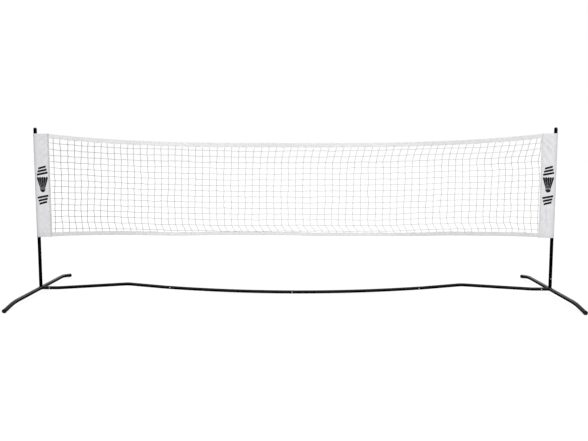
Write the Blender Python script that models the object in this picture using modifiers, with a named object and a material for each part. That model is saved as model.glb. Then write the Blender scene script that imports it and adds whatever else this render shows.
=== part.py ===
"""A portable badminton net on a freestanding tube frame, in metres, +Z up.

The net runs along X and is seen from the front along +Y. The origin is on the floor, below the
middle of the net. Two bent foot tubes lie along Y, one under each post. Each carries two welded
stubs: the post slides over one, the floor bar over the other. The floor bar is four tubes plugged
into each other by swaged ends, and every plugged joint is locked by a sprung snap button.
"""

import math

import bmesh
import bpy
from mathutils import Matrix, Vector

# Frame, from which every place follows
POST_X = 1.515            # post axis to the middle of the net
FOOT_Z = 0.031            # axis of the foot tubes and of the floor bar's ends
POST_TOP_Z = 0.975        # top end of the post tube
TUBE_R = 0.0095           # posts and floor bar: 19 mm steel tube
FOOT_R = 0.0110           # feet: 22 mm steel tube
WALL = 0.0010
CLEAR = 0.0003            # gap between pieces that touch
STUB_R = TUBE_R - WALL - CLEAR
TUBE_SIDES_RES = 6        # bevel resolution: 16 sides

# Foot tubes
FOOT_BEND_Y = 0.327       # where the foot turns down towards its tip
FOOT_TIP_Y = 0.4340       # end of the bare tube
FOOT_TIP_Z = 0.01165      # axis height at the end of the bare tube
FOOT_BEND_R = 0.45
PLUG_HEAD_R = 0.0121      # rubber plug in each end of the foot, resting on the floor
PLUG_HEAD_LENGTH = 0.0080
PLUG_DEPTH = 0.022

# Welded stubs
WELD_R = 0.0104
WELD_H = 0.0030
POST_STUB_LENGTH = 0.095  # from the foot's axis
BAR_STUB_LENGTH = 0.080
POST_BUTTON = 0.0625      # from the foot's axis
BAR_BUTTON = 0.0540
END_GAP = 0.0012          # between a weld and the tube over its stub

# Floor bar
BAR_LEVEL_X = 1.410       # the bar runs level from the foot to here
BAR_PEAK = (0.990, 0.0560)   # x and z of the bend in each outer tube
BAR_JOINT_X = 0.765       # outer tube meets inner tube
BAR_LOW_Z = 0.0097        # axis height at the middle, where the bar rests on the floor
BAR_SAG = 0.0250          # rise from the middle to MIDDLE_SPAN
MIDDLE_SPAN = 0.740
SWAGE_TAPER = 0.0030
SWAGE_LENGTH = 0.060
SWAGE_BUTTON = 0.0250     # from the tube's shoulder
MIDDLE_JOINT_X = 0.012    # shoulder of the right inner tube

# Snap buttons
BUTTON_R = 0.0034
BUTTON_TOP = 0.0120       # from the tube's axis
BUTTON_BOTTOM = 0.0054
HOLE_R = 0.0037
LEAF_WIDTH = 0.0070
LEAF_THICK = 0.0007
LEAF_TOP = 0.0051         # from the tube's axis
LEAF_LENGTH = 0.0250

# Net
NET_TOP_Z = 0.948
NET_BOTTOM_Z = 0.338
SLEEVE_SEAM_X = 1.4415    # inner edge of each post sleeve
SLEEVE_R = 0.0110         # pocket round the post
SLEEVE_WALL = 0.0012
SLEEVE_SHIFT = 0.0008     # the pocket is pulled inwards against the post
SEAM_HALF = 0.0012
SEAM_DEPTH = 0.006
TAPE_TOP_END_Z = 0.946    # top edge of the top tape at the sleeves
TAPE_SAG = 0.053
TOP_TAPE_H = 0.025
BOTTOM_TAPE_H = 0.020
TAPE_BOTTOM_END_Z = 0.341
TAPE_RISE = 0.010         # the bottom tape lifts by this in the middle
TAPE_HALF = 0.0013
MESH_HALF = 0.0004
NET_STEPS = 36

SIDES = (("left", -1), ("right", 1))


def clear_scene():
    for obj in list(bpy.data.objects):
        bpy.data.objects.remove(obj, do_unlink=True)


def new_collection(name):
    collection = bpy.data.collections.new(name)
    bpy.context.scene.collection.children.link(collection)
    return collection


def make_material(name, color, roughness, metallic=0.0):
    material = bpy.data.materials.new(name)
    material.use_nodes = True
    shader = material.node_tree.nodes["Principled BSDF"]
    shader.inputs["Base Color"].default_value = (*color, 1.0)
    shader.inputs["Roughness"].default_value = roughness
    shader.inputs["Metallic"].default_value = metallic
    material.diffuse_color = (*color, 1.0)
    return material


clear_scene()
PARTS = new_collection("portable_badminton_net")
CUTTERS = new_collection("cutters")
PAINT = make_material("black_paint", (0.012, 0.012, 0.013), 0.38)
STEEL = make_material("bright_steel", (0.72, 0.72, 0.74), 0.28, 1.0)
RUBBER = make_material("black_rubber", (0.018, 0.018, 0.018), 0.75)
PLASTIC = make_material("black_plastic", (0.015, 0.015, 0.016), 0.5)
SLEEVE_CLOTH = make_material("white_sleeve_cloth", (0.80, 0.80, 0.84), 0.8)
TAPE_CLOTH = make_material("white_tape", (0.84, 0.84, 0.86), 0.8)
TWINE = make_material("white_twine", (0.82, 0.82, 0.83), 0.7)


def add_object(name, data, material, matrix=None, collection=None):
    obj = bpy.data.objects.new(name, data)
    (collection or PARTS).objects.link(obj)
    if matrix is not None:
        obj.matrix_world = matrix
    if material and not data.materials:
        data.materials.append(material)
    return obj


def frame_at(origin, along, outward):
    """Local X runs along a tube and local Z points outwards, through its wall."""
    x = Vector(along).normalized()
    z = Vector(outward).normalized()
    rotation = Matrix((x, z.cross(x), z)).transposed().to_4x4()
    return Matrix.Translation(Vector(origin)) @ rotation


def rounded_path(corners, radius, steps=4):
    """The corners joined by straight runs, with an arc of this radius at each bend."""
    corners = [Vector(c) for c in corners]
    points = [corners[0]]
    for before, here, after in zip(corners, corners[1:], corners[2:]):
        a = (before - here).normalized()
        b = (after - here).normalized()
        half_turn = (math.pi - a.angle(b)) / 2
        reach = radius * math.tan(half_turn)
        centre = here + (a + b).normalized() * radius / math.cos(half_turn)
        start = here + a * reach - centre
        end = here + b * reach - centre
        turns = [start.slerp(end, i / steps).normalized() for i in range(steps + 1)]
        points += [centre + turn * radius for turn in turns]
    points.append(corners[-1])
    return points


def straight_path(start, end, pieces):
    start, end = Vector(start), Vector(end)
    return [start.lerp(end, i / pieces) for i in range(pieces + 1)]


def tube(name, points, radii, material=None, wall=WALL):
    """A hollow tube through the points. radii holds one outer radius for each point."""
    curve = bpy.data.curves.new(name, "CURVE")
    curve.dimensions = "3D"
    curve.bevel_depth = 1.0
    curve.bevel_resolution = TUBE_SIDES_RES
    spline = curve.splines.new("POLY")
    spline.points.add(len(points) - 1)
    for target, point, radius in zip(spline.points, points, radii):
        target.co = (*point, 1.0)
        target.radius = radius
    guide = add_object(name + "_guide", curve, None)
    graph = bpy.context.evaluated_depsgraph_get()
    mesh = bpy.data.meshes.new_from_object(guide.evaluated_get(graph))
    matrix = guide.matrix_world.copy()
    bpy.data.objects.remove(guide, do_unlink=True)
    bm = bmesh.new()
    bm.from_mesh(mesh)
    bmesh.ops.remove_doubles(bm, verts=bm.verts, dist=1e-6)
    bmesh.ops.recalc_face_normals(bm, faces=bm.faces)
    bm.to_mesh(mesh)
    bm.free()
    mesh.name = name
    mesh.shade_smooth()
    mesh.set_sharp_from_angle(angle=math.radians(40))
    obj = add_object(name, mesh, material or PAINT, matrix)
    shell = obj.modifiers.new("wall", "SOLIDIFY")
    shell.thickness = wall
    shell.offset = -1.0
    shell.use_even_offset = True
    return obj


def turned(name, profile, material, matrix, segments=16, mesh=None):
    """A profile of (radius, height), run down its outer side, turned about local Z."""
    if mesh is None:
        mesh = bpy.data.meshes.new(name)
        edges = [(i, i + 1) for i in range(len(profile) - 1)]
        mesh.from_pydata([(r, 0.0, h) for r, h in profile], edges, [])
    obj = add_object(name, mesh, material, matrix)
    screw = obj.modifiers.new("turn", "SCREW")
    screw.axis = "Z"
    screw.steps = segments
    screw.render_steps = segments
    screw.use_merge_vertices = True
    screw.merge_threshold = 1e-5
    screw.use_smooth_shade = True
    return obj


def cut(obj, cutter):
    boolean = obj.modifiers.new("cut_" + cutter.name, "BOOLEAN")
    boolean.operation = "DIFFERENCE"
    boolean.object = cutter


def add_cutter(name, bm, matrix=None):
    mesh = bpy.data.meshes.new(name)
    bm.to_mesh(mesh)
    bm.free()
    obj = add_object(name, mesh, None, matrix, CUTTERS)
    obj.hide_render = True
    obj.display_type = "WIRE"
    return obj


def cylinder_cutter(name, radius, low, high, matrix, segments=24):
    """A cylinder about local Z, from height low to height high."""
    bm = bmesh.new()
    middle = Matrix.Translation((0, 0, (low + high) / 2))
    bmesh.ops.create_cone(
        bm, cap_ends=True, segments=segments, radius1=radius, radius2=radius,
        depth=high - low, matrix=middle,
    )
    return add_cutter(name, bm, matrix)


def floor_cutter():
    """Everything below the floor, to give the rubber caps flat soles."""
    bm = bmesh.new()
    size = Matrix.Diagonal((4.0, 2.0, 0.1, 1.0))
    bmesh.ops.create_cube(bm, size=1.0, matrix=Matrix.Translation((0, 0, -0.05)) @ size)
    return add_cutter("floor", bm)


def flat_shape(name, outlines, half_thickness, material, matrix):
    """Closed outlines in local XY, the later ones holes, filled and given a thickness in Z."""
    curve = bpy.data.curves.new(name, "CURVE")
    curve.dimensions = "2D"
    curve.fill_mode = "BOTH"
    curve.extrude = half_thickness
    for outline in outlines:
        spline = curve.splines.new("POLY")
        spline.points.add(len(outline) - 1)
        for target, (x, y) in zip(spline.points, outline):
            target.co = (x, y, 0.0, 1.0)
        spline.use_cyclic_u = True
    return add_object(name, curve, material, matrix)


def inner_bar_z(x):
    """Axis height of the two inner tubes, which sag to the floor in the middle."""
    return BAR_LOW_Z + BAR_SAG * (x / MIDDLE_SPAN) ** 2


def inner_bar_slope(x):
    return 2 * BAR_SAG * x / MIDDLE_SPAN**2


def foot_tip_direction(front):
    drop = FOOT_Z - FOOT_TIP_Z
    return Vector((0, front * (FOOT_TIP_Y - FOOT_BEND_Y), -drop)).normalized()


# ---------------------------------------------------------------- feet and stubs

def make_foot(side, sign, floor):
    x = sign * POST_X
    corners = [
        (x, -FOOT_TIP_Y, FOOT_TIP_Z),
        (x, -FOOT_BEND_Y, FOOT_Z),
        (x, FOOT_BEND_Y, FOOT_Z),
        (x, FOOT_TIP_Y, FOOT_TIP_Z),
    ]
    points = rounded_path(corners, FOOT_BEND_R)
    tube(f"{side}_foot_tube", points, [FOOT_R] * len(points))
    for end, front in (("front", -1), ("back", 1)):
        tip = Vector((x, front * FOOT_TIP_Y, FOOT_TIP_Z))
        make_foot_cap(f"{side}_{end}_foot_cap", tip, foot_tip_direction(front), floor)


def make_foot_cap(name, tip, direction, floor):
    """A plug: its head stands proud of the tube and is cut flat where it rests on the floor."""
    round_r = 0.0025
    plug_r = FOOT_R - WALL - CLEAR
    profile = [(0.0, PLUG_HEAD_LENGTH)]
    for degrees in (90, 60, 30, 0):
        a = math.radians(degrees)
        side = PLUG_HEAD_R - round_r + round_r * math.cos(a)
        profile.append((side, PLUG_HEAD_LENGTH - round_r + round_r * math.sin(a)))
    profile += [
        (PLUG_HEAD_R, CLEAR + 0.0006),
        (PLUG_HEAD_R - 0.0006, CLEAR),
        (plug_r, CLEAR),
        (plug_r, -PLUG_DEPTH + 0.002),
        (plug_r - 0.001, -PLUG_DEPTH),
        (0.0, -PLUG_DEPTH),
    ]
    matrix = Matrix.Translation(tip) @ direction.to_track_quat("Z", "X").to_matrix().to_4x4()
    cap = turned(name, profile, RUBBER, matrix, segments=24)
    cut(cap, floor)


def make_stub(name, foot_axis, direction, outward, length, button):
    """A stub welded to the foot tube at its axis, running out in this direction."""
    direction = Vector(direction)
    base = Vector(foot_axis)
    start = FOOT_R * 0.3
    stations = [
        (start, WELD_R),
        (FOOT_R + 0.0004, WELD_R),
        (FOOT_R + WELD_H, STUB_R),
        (length - 0.002, STUB_R),
        (length, STUB_R - 0.0008),
    ]
    points = [base + direction * s for s, _ in stations]
    stub = tube(name, points, [r for _, r in stations])
    along_foot = Matrix.Translation(base) @ Matrix.Rotation(math.pi / 2, 4, "X")
    cut(stub, cylinder_cutter(name + "_saddle", FOOT_R + CLEAR, -0.03, 0.03, along_foot, 48))
    seat = base + direction * button
    cut(stub, hole_cutter(name + "_hole", seat, direction, outward))
    return stub


def make_stubs(side, sign, foot_axis, post_outward, bar_outward):
    """The bar's stub is trimmed where it would run into the post's stub, above it."""
    up, inward = (0, 0, 1), (-sign, 0, 0)
    make_stub(f"{side}_post_stub", foot_axis, up, post_outward, POST_STUB_LENGTH, POST_BUTTON)
    name = f"{side}_bar_stub"
    stub = make_stub(name, foot_axis, inward, bar_outward, BAR_STUB_LENGTH, BAR_BUTTON)
    trim = Matrix.Translation(foot_axis)
    cut(stub, cylinder_cutter(name + "_trim", WELD_R + CLEAR, 0.0, 0.03, trim, 48))


def hole_cutter(name, seat, along, outward):
    return cylinder_cutter(name, HOLE_R, 0.0058, 0.0135, frame_at(seat, along, outward), 20)


# ---------------------------------------------------------------- snap buttons

def button_profile():
    dome = 0.0016
    points = [(0.0, BUTTON_TOP)]
    for degrees in (65, 40, 15, 0):
        a = math.radians(degrees)
        points.append((BUTTON_R * math.cos(a), BUTTON_TOP - dome + dome * math.sin(a)))
    return points + [(BUTTON_R, BUTTON_BOTTOM), (0.0, BUTTON_BOTTOM)]


def leaf_path():
    """Middle line of the bent strip, in local X and Z, from under the button round to its foot."""
    top = LEAF_TOP - LEAF_THICK / 2
    bend_r = 0.0012
    bend_x, bend_z = LEAF_LENGTH - bend_r, top - 0.0029
    points = [(-0.0045, top), (0.0045, top)]
    for degrees in (90, 45, 0, -45, -90):
        a = math.radians(degrees)
        points.append((bend_x + bend_r * math.cos(a), bend_z + bend_r * math.sin(a)))
    return points + [(0.003, top - 0.0052), (-0.002, top - 0.0050)]


def leaf_mesh():
    bm = bmesh.new()
    rows = [
        [bm.verts.new((x, y, z)) for y in (-LEAF_WIDTH / 2, LEAF_WIDTH / 2)]
        for x, z in leaf_path()
    ]
    for (a, b), (c, d) in zip(rows, rows[1:]):
        bm.faces.new((a, b, d, c))
    mesh = bpy.data.meshes.new("snap_leaf")
    bm.to_mesh(mesh)
    bm.free()
    return mesh


def make_snap_buttons(seats):
    """seats: name, place on the tube's axis, direction to the open end, direction outwards."""
    pin = None
    leaf = leaf_mesh()
    for name, place, along, outward in seats:
        matrix = frame_at(place, along, outward)
        button = turned(name + "_button", button_profile(), STEEL, matrix, 12, pin)
        pin = button.data
        spring = add_object(name + "_spring", leaf, STEEL, matrix)
        strip = spring.modifiers.new("thickness", "SOLIDIFY")
        strip.thickness = LEAF_THICK
        strip.offset = 0.0


# ---------------------------------------------------------------- posts

def make_post(side, sign, outward):
    x = sign * POST_X
    bottom = FOOT_Z + FOOT_R + WELD_H + END_GAP
    points = straight_path((x, 0, bottom), (x, 0, POST_TOP_Z), 2)
    post = tube(f"{side}_post", points, [TUBE_R] * len(points))
    seat = (x, 0, FOOT_Z + POST_BUTTON)
    cut(post, hole_cutter(f"{side}_post_hole", seat, (0, 0, 1), outward))
    make_post_cap(f"{side}_post_cap", x)


def make_post_cap(name, x):
    """A push-in plug with a domed head as wide as the tube."""
    head_z = POST_TOP_Z + CLEAR
    dome = 0.0078
    points = [(0.0, head_z + dome)]
    for degrees in (70, 50, 30, 12):
        a = math.radians(degrees)
        points.append((TUBE_R * math.cos(a), head_z + dome * math.sin(a)))
    points += [
        (TUBE_R, head_z + 0.0006),
        (TUBE_R - 0.0005, head_z),
        (STUB_R, head_z),
        (STUB_R, head_z - 0.018),
        (STUB_R - 0.001, head_z - 0.020),
        (0.0, head_z - 0.020),
    ]
    turned(name, points, PLASTIC, Matrix.Translation((x, 0, 0)))


# ---------------------------------------------------------------- floor bar

def outer_bar_end():
    """Where the outer tube's full width ends: its shoulder, x and z for the right side."""
    return BAR_JOINT_X + SWAGE_TAPER, inner_bar_z(BAR_JOINT_X) + 0.0002


def make_outer_bar(side, sign, outward):
    start_x = POST_X - FOOT_R - WELD_H - END_GAP
    corners = [
        (sign * start_x, 0, FOOT_Z),
        (sign * BAR_LEVEL_X, 0, FOOT_Z),
        (sign * BAR_PEAK[0], 0, BAR_PEAK[1]),
        (sign * outer_bar_end()[0], 0, outer_bar_end()[1]),
    ]
    points = rounded_path(corners, 0.25)
    radii = [TUBE_R] * len(points)
    for i in range(4):
        x = BAR_JOINT_X - SWAGE_LENGTH * i / 3
        points.append(Vector((sign * x, 0, inner_bar_z(x))))
        radii.append(STUB_R)
    bar = tube(f"{side}_outer_bar", points, radii)
    seat = Vector((sign * (POST_X - BAR_BUTTON), 0, FOOT_Z))
    cut(bar, hole_cutter(f"{side}_bar_end_hole", seat, (-sign, 0, 0), outward))
    seat_x = sign * (BAR_JOINT_X - SWAGE_BUTTON)
    cut(bar, bar_hole_cutter(f"{side}_swage_hole", seat_x, -sign, outward))


def bar_hole_cutter(name, x, along, outward):
    seat, direction = bar_seat(x, along)
    return hole_cutter(name, seat, direction, outward)


def bar_seat(x, along):
    """Place and direction on the sagging part of the bar; along is +1 or -1, the sense in X."""
    return Vector((x, 0, inner_bar_z(x))), Vector((along, 0, along * inner_bar_slope(x)))


def inner_path(start_x, end_x, pieces):
    xs = [start_x + (end_x - start_x) * i / pieces for i in range(pieces + 1)]
    return [Vector((x, 0, inner_bar_z(x))) for x in xs]


def make_inner_bars(outward):
    end_x = BAR_JOINT_X - END_GAP
    middle = MIDDLE_JOINT_X
    button_x = middle - SWAGE_BUTTON

    left_points = inner_path(-end_x, middle - END_GAP, 8)
    left = tube("left_inner_bar", left_points, [TUBE_R] * len(left_points))
    seat_x = -(BAR_JOINT_X - SWAGE_BUTTON)
    cut(left, bar_hole_cutter("left_inner_hole", seat_x, 1, outward))
    cut(left, bar_hole_cutter("middle_hole", button_x, -1, outward))

    right_points = inner_path(end_x, middle + SWAGE_TAPER, 8)
    radii = [TUBE_R] * len(right_points)
    swage = inner_path(middle, middle - SWAGE_LENGTH, 3)
    right = tube("right_inner_bar", right_points + swage, radii + [STUB_R] * len(swage))
    cut(right, bar_hole_cutter("right_inner_hole", -seat_x, -1, outward))
    cut(right, bar_hole_cutter("middle_swage_hole", button_x, -1, outward))


# ---------------------------------------------------------------- net

def top_edge(x):
    """Top edge of the net, slack between the posts: steep by the sleeves, flat in the middle."""
    return TAPE_TOP_END_Z - TAPE_SAG * (1 - abs(x / SLEEVE_SEAM_X) ** 3)


def bottom_edge(x):
    return TAPE_BOTTOM_END_Z + TAPE_RISE * (1 - (x / SLEEVE_SEAM_X) ** 2)


def band_outline(low, high):
    """A band across the net between two edges, each a function of x."""
    reach = SLEEVE_SEAM_X - CLEAR
    xs = [reach * (2 * i / NET_STEPS - 1) for i in range(NET_STEPS + 1)]
    return [(x, low(x)) for x in xs] + [(x, high(x)) for x in reversed(xs)]


def make_net():
    upright = Matrix.Rotation(math.pi / 2, 4, "X")
    bands = (
        ("top_tape", lambda x: top_edge(x) - TOP_TAPE_H, top_edge, TAPE_HALF, TAPE_CLOTH),
        ("bottom_tape", bottom_edge, lambda x: bottom_edge(x) + BOTTOM_TAPE_H, TAPE_HALF, TAPE_CLOTH),
        (
            "net_mesh",
            lambda x: bottom_edge(x) + BOTTOM_TAPE_H + CLEAR,
            lambda x: top_edge(x) - TOP_TAPE_H - CLEAR,
            MESH_HALF,
            TWINE,
        ),
    )
    for name, low, high, half, material in bands:
        flat_shape(name, [band_outline(low, high)], half, material, upright)


def pocket_outline(radius, tip, tip_half, steps=14):
    """A teardrop round the origin, drawn in to a blunt tip at this distance along +X."""
    distance = math.hypot(tip, tip_half)
    touch = math.atan2(tip_half, tip) + math.acos(radius / distance)
    arc = [touch + (2 * math.pi - 2 * touch) * i / steps for i in range(steps + 1)]
    points = [(radius * math.cos(a), radius * math.sin(a)) for a in arc]
    ends = [(tip, -tip_half), (tip, tip_half)] if tip_half else [(tip, 0.0)]
    return points + ends


def make_sleeve(side, sign):
    centre_x = sign * (POST_X - SLEEVE_SHIFT)
    tip = POST_X - SLEEVE_SHIFT - SLEEVE_SEAM_X
    outer = pocket_outline(SLEEVE_R + SLEEVE_WALL, tip, SEAM_HALF)
    inner = pocket_outline(SLEEVE_R, tip - SEAM_DEPTH, 0.0)
    matrix = Matrix.Translation((centre_x, 0, (NET_TOP_Z + NET_BOTTOM_Z) / 2))
    if sign > 0:
        matrix = matrix @ Matrix.Rotation(math.pi, 4, "Z")
    half = (NET_TOP_Z - NET_BOTTOM_Z) / 2
    flat_shape(f"{side}_sleeve", [outer, inner], half, SLEEVE_CLOTH, matrix)


# ---------------------------------------------------------------- assembly

def main():
    front, back = Vector((0, -1, 0)), Vector((0, 1, 0))
    post_outward = {"left": back, "right": front}
    floor = floor_cutter()
    seats = []
    for side, sign in SIDES:
        foot_axis = Vector((sign * POST_X, 0, FOOT_Z))
        up, inward = Vector((0, 0, 1)), Vector((-sign, 0, 0))
        make_foot(side, sign, floor)
        outward = post_outward[side]
        make_stubs(side, sign, foot_axis, outward, front)
        make_post(side, sign, outward)
        make_outer_bar(side, sign, front)
        make_sleeve(side, sign)
        seats.append((f"{side}_post", foot_axis + up * POST_BUTTON, up, outward))
        seats.append((f"{side}_bar_end", foot_axis + inward * BAR_BUTTON, inward, front))
        joint_x = sign * (BAR_JOINT_X - SWAGE_BUTTON)
        seats.append((f"{side}_bar_joint", *bar_seat(joint_x, -sign), front))
    make_inner_bars(front)
    seats.append(("middle_joint", *bar_seat(MIDDLE_JOINT_X - SWAGE_BUTTON, -1), front))
    make_snap_buttons(seats)
    make_net()


main()
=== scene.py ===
"""The looks of the portable badminton net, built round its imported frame. Metres, +Z up.

Every place comes from the frame's own boxes and from the few driving sizes below, which repeat
the model's. The tubes, caps and buttons are rebuilt with fine round surfaces, and the sleeves,
tapes and netting as real cloth and twine.
"""

import math

import bmesh
import bpy
import numpy as np
from mathutils import Matrix, Vector


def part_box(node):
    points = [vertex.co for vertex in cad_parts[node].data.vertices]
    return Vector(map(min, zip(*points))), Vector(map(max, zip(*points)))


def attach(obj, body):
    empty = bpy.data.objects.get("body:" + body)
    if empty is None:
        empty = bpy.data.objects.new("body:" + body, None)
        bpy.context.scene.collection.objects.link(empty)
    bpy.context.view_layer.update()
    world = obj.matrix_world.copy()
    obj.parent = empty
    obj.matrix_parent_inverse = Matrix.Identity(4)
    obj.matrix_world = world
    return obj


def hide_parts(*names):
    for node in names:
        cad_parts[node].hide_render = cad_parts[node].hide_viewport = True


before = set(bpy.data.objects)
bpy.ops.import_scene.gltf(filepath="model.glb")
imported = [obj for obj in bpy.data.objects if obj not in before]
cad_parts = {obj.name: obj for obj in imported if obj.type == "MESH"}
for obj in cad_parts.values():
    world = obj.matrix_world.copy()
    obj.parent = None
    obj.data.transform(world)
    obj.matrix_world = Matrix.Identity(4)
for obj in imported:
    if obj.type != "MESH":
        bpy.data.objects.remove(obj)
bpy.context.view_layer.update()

SIDES = (("left", -1), ("right", 1))
UP = np.array((0.0, 0.0, 1.0))
FRONT = np.array((0.0, -1.0, 0.0))
BACK = -FRONT
UV_NAME = "surface"       # a UV map in metres, or in turns and metres on twine

# ---------------- sizes

post_low, post_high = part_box("right_post")
foot_low, foot_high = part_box("right_foot_tube")
sleeve_low, sleeve_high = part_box("right_sleeve")
top_low, top_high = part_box("top_tape")
bottom_low, bottom_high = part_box("bottom_tape")

# Tubes
POST_X = (post_low.x + post_high.x) / 2
TUBE_R = (post_high.x - post_low.x) / 2
WALL = 0.0010
CLEAR = 0.0003
STUB_R = TUBE_R - WALL - CLEAR
LIP = 0.0003              # the tubes' cut ends are rounded off by this
TUBE_SIDES = 40
FOOT_R = (foot_high.x - foot_low.x) / 2
FOOT_Z = foot_high.z - FOOT_R
FOOT_BEND_Y = 0.327
FOOT_TIP = (0.4340, 0.01165)     # y and z of the end of the bare tube
FOOT_BEND_R = 0.45
BAR_BEND_R = 0.25
BAR_LEVEL_X = 1.410
BAR_PEAK = (0.990, 0.0560)       # x and z of the bend in each outer tube
BAR_JOINT_X = 0.765
BAR_LOW_Z = 0.0097
BAR_SAG = 0.0250
MIDDLE_SPAN = 0.740
MIDDLE_JOINT_X = 0.012
SWAGE_TAPER = 0.0030
SWAGE_LENGTH = 0.060
SWAGE_BUTTON = 0.0250
END_GAP = 0.0012
WELD_H = 0.0030
BEAD_R = 0.0021           # weld bead
BEAD_RIPPLES = 34
POST_STUB = (0.095, 0.0625)      # its length and its button, from the foot's axis
BAR_STUB = (0.080, 0.0540)
HOLE_R = 0.0037
DRILL_LENGTH, DRILL_MIDDLE = 0.008, 0.0098    # what cuts the holes: its middle is from the tube's axis
BUTTON_R = 0.0034
BUTTON_TOP = 0.0120
BUTTON_BOTTOM = 0.0054
BUTTON_DOME = 0.0016
PLUG_R = 0.0121
PLUG_HEAD = 0.0080
PLUG_CORNER = 0.0025
PLUG_DEPTH = 0.022

# Sleeves
SEAM_X = sleeve_low.x - 0.0045    # the cloth is a little wider than its plain solid
SLEEVE_TOP, SLEEVE_BOTTOM = sleeve_high.z, sleeve_low.z
POCKET_X = POST_X - 0.0008
POCKET_R = 0.0115         # to the middle of the cloth
SLEEVE_CLOTH = 0.0007     # thickness
SEAM_HALF = 0.00045       # half the gap between the two layers at the seam
TOP_HEM = 0.016
BOTTOM_HEM = 0.024
BINDING_WIDTH = 0.0080
BINDING_CLOTH = 0.0004
SLEEVE_WEAVE = 0.0005     # between threads
STITCH_STEP = 0.0046
STITCH_LENGTH = 0.0034
THREAD_R = 0.00028
MARK_CELL = 0.0025        # the print is cut this fine, to follow the cloth
MARK_SKIN = 0.00022       # its thickness

# Tapes and netting
TOP_TAPE_H = 0.025
BOTTOM_TAPE_H = 0.020
TAPE_SAG = top_high.z - TOP_TAPE_H - top_low.z
TAPE_RISE = bottom_high.z - BOTTOM_TAPE_H - bottom_low.z
TAPE_END = SEAM_X + 0.0030
TAPE_CLOTH = 0.0006
TAPE_GAP = 0.00105        # half the gap between a tape's two layers
TAPE_WEAVE = 0.0008
TAPE_STITCH = 0.004       # from a tape's open edge to its stitches
TWINE_R = 0.0015
TWIST_PITCH = 0.0085      # the length of one turn of the twine's strands
UPRIGHTS = 70
ROWS = 15
FIRST_UPRIGHT = 0.026     # from the left seam to the nearest upright string
LAST_UPRIGHT = 0.010      # and from the right seam
KNOT_CLEAR = 0.0045       # no knot comes closer to a seam than this
LOOP_R, CORD_R = 0.00165, 0.00092    # the loops of a knot, and the twine in them

# Tones and light
NET_SPAN = 3.0            # tones along the net run over this length
TWINE_END_SHADE = 0.52     # painted shade: how much greyer the netting is at its left end
WORLD_FRONT = 0.85        # the light of the surround, in front, behind and above
WORLD_SIDES = 0.30        # and at the two ends of the net
GLOSS_FRONT = 0.02        # what shiny surfaces mirror: a dark room and floor in front
GLOSS_BACK = 1.50         # and a bright backdrop behind


def smooth(low, high, x):
    """0 below low, 1 above high, and a smooth step between."""
    t = np.clip((np.asarray(x, float) - low) / (high - low), 0, 1)
    return t * t * (3 - 2 * t)


def hump(x, middle, reach):
    """1 at the middle, falling smoothly to nothing about twice the reach away."""
    return np.exp(-(((np.asarray(x) - middle) / reach) ** 2))


def unit(vectors):
    return vectors / np.linalg.norm(vectors, axis=-1, keepdims=True)


def waves(seed, x, y, length, count=7):
    """Smooth irregular waves of about this length over two coordinates, from about -1 to 1."""
    rng = np.random.default_rng(seed)
    total = np.zeros(np.broadcast(x, y).shape)
    for _ in range(count):
        turn, phase = rng.uniform(0, 2 * math.pi, 2)
        k = 2 * math.pi / (length * rng.uniform(0.7, 1.5))
        total += np.sin(k * (x * math.cos(turn) + y * math.sin(turn)) + phase)
    return total / math.sqrt(count)


def lengths_along(points):
    """How far along its path each point is."""
    return np.concatenate([[0], np.cumsum(np.linalg.norm(np.diff(points, axis=0), axis=1))])


def points_at(places, lengths, points):
    """The path's points, or their directions, at places measured along it."""
    return np.stack([np.interp(places, lengths, column) for column in points.T], 1)


def spokes(first, second, sides):
    """Directions all round, starting at first and turning towards second."""
    a = 2 * math.pi * np.arange(sides) / sides
    return np.cos(a)[:, None] * first[..., None, :] + np.sin(a)[:, None] * second[..., None, :]


# ---------------- lines of the net and the bar

def top_edge(x):
    return top_high.z - TAPE_SAG * (1 - np.abs(x / SEAM_X) ** 3)


def bottom_edge(x):
    """Bottom edge of the net: it hangs lower in two slack stretches, beside its middle."""
    right_slack = smooth(0.0, 0.12, x) * (1 - smooth(0.72, 0.92, x))
    slack = 0.0045 * hump(x, -0.70, 0.17) + 0.0048 * right_slack
    return bottom_low.z + TAPE_RISE * (1 - (x / SEAM_X) ** 8) - slack


def bottom_tape_top(x):
    """Its upper edge: the tape is a little wider at its ends."""
    return bottom_edge(x) + BOTTOM_TAPE_H + 0.003 * smooth(0.65, 0.95, np.abs(x))


def net_sway(x, share):
    """How far the netting leans out of its plane: share is 0 at the top tape and 1 at the bottom."""
    ends = smooth(0, 0.25, (SEAM_X - np.abs(x)) / SEAM_X)
    belly = np.sin(math.pi * np.clip(share, 0, 1))
    tape = 0.0030 * waves(401, x, 0.0, 0.75) * (1 - share) + 0.0025 * waves(402, x, 0.0, 0.6) * share
    return ends * (tape + belly * 0.006 * waves(403, x, share * 0.4, 0.8))


def inner_bar_z(x):
    return BAR_LOW_Z + BAR_SAG * (x / MIDDLE_SPAN) ** 2


def bar_path(xs):
    """Points of the sagging middle of the floor bar."""
    return np.array([(x, 0, inner_bar_z(x)) for x in xs])


def bar_seat(x, along):
    """Where a button sits on the inner bars: its place, the way to the open end, and outwards."""
    slope = 2 * BAR_SAG * x / MIDDLE_SPAN**2
    return (x, 0.0, inner_bar_z(x)), unit(np.array((along, 0.0, along * slope))), FRONT


# ---------------- meshes

def new_object(name, data):
    """An object in the scene with this mesh, light or camera."""
    obj = bpy.data.objects.new(name, data)
    bpy.context.scene.collection.objects.link(obj)
    return obj


def add_object(name, mesh, material, body, stands_for=()):
    obj = new_object(name, mesh)
    mesh.materials.clear()
    mesh.materials.append(material)
    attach(obj, body)
    if stands_for:
        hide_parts(*stands_for)
    return obj


def add_painted(node, mesh, ending="_painted"):
    add_object(node + ending, mesh, PAINT, "frame", [node])


def shaded(mesh, sharp=35):
    """Smooth shading, except at edges sharper than this many degrees."""
    mesh.shade_smooth()
    mesh.set_sharp_from_angle(angle=math.radians(sharp))
    return mesh


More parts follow.
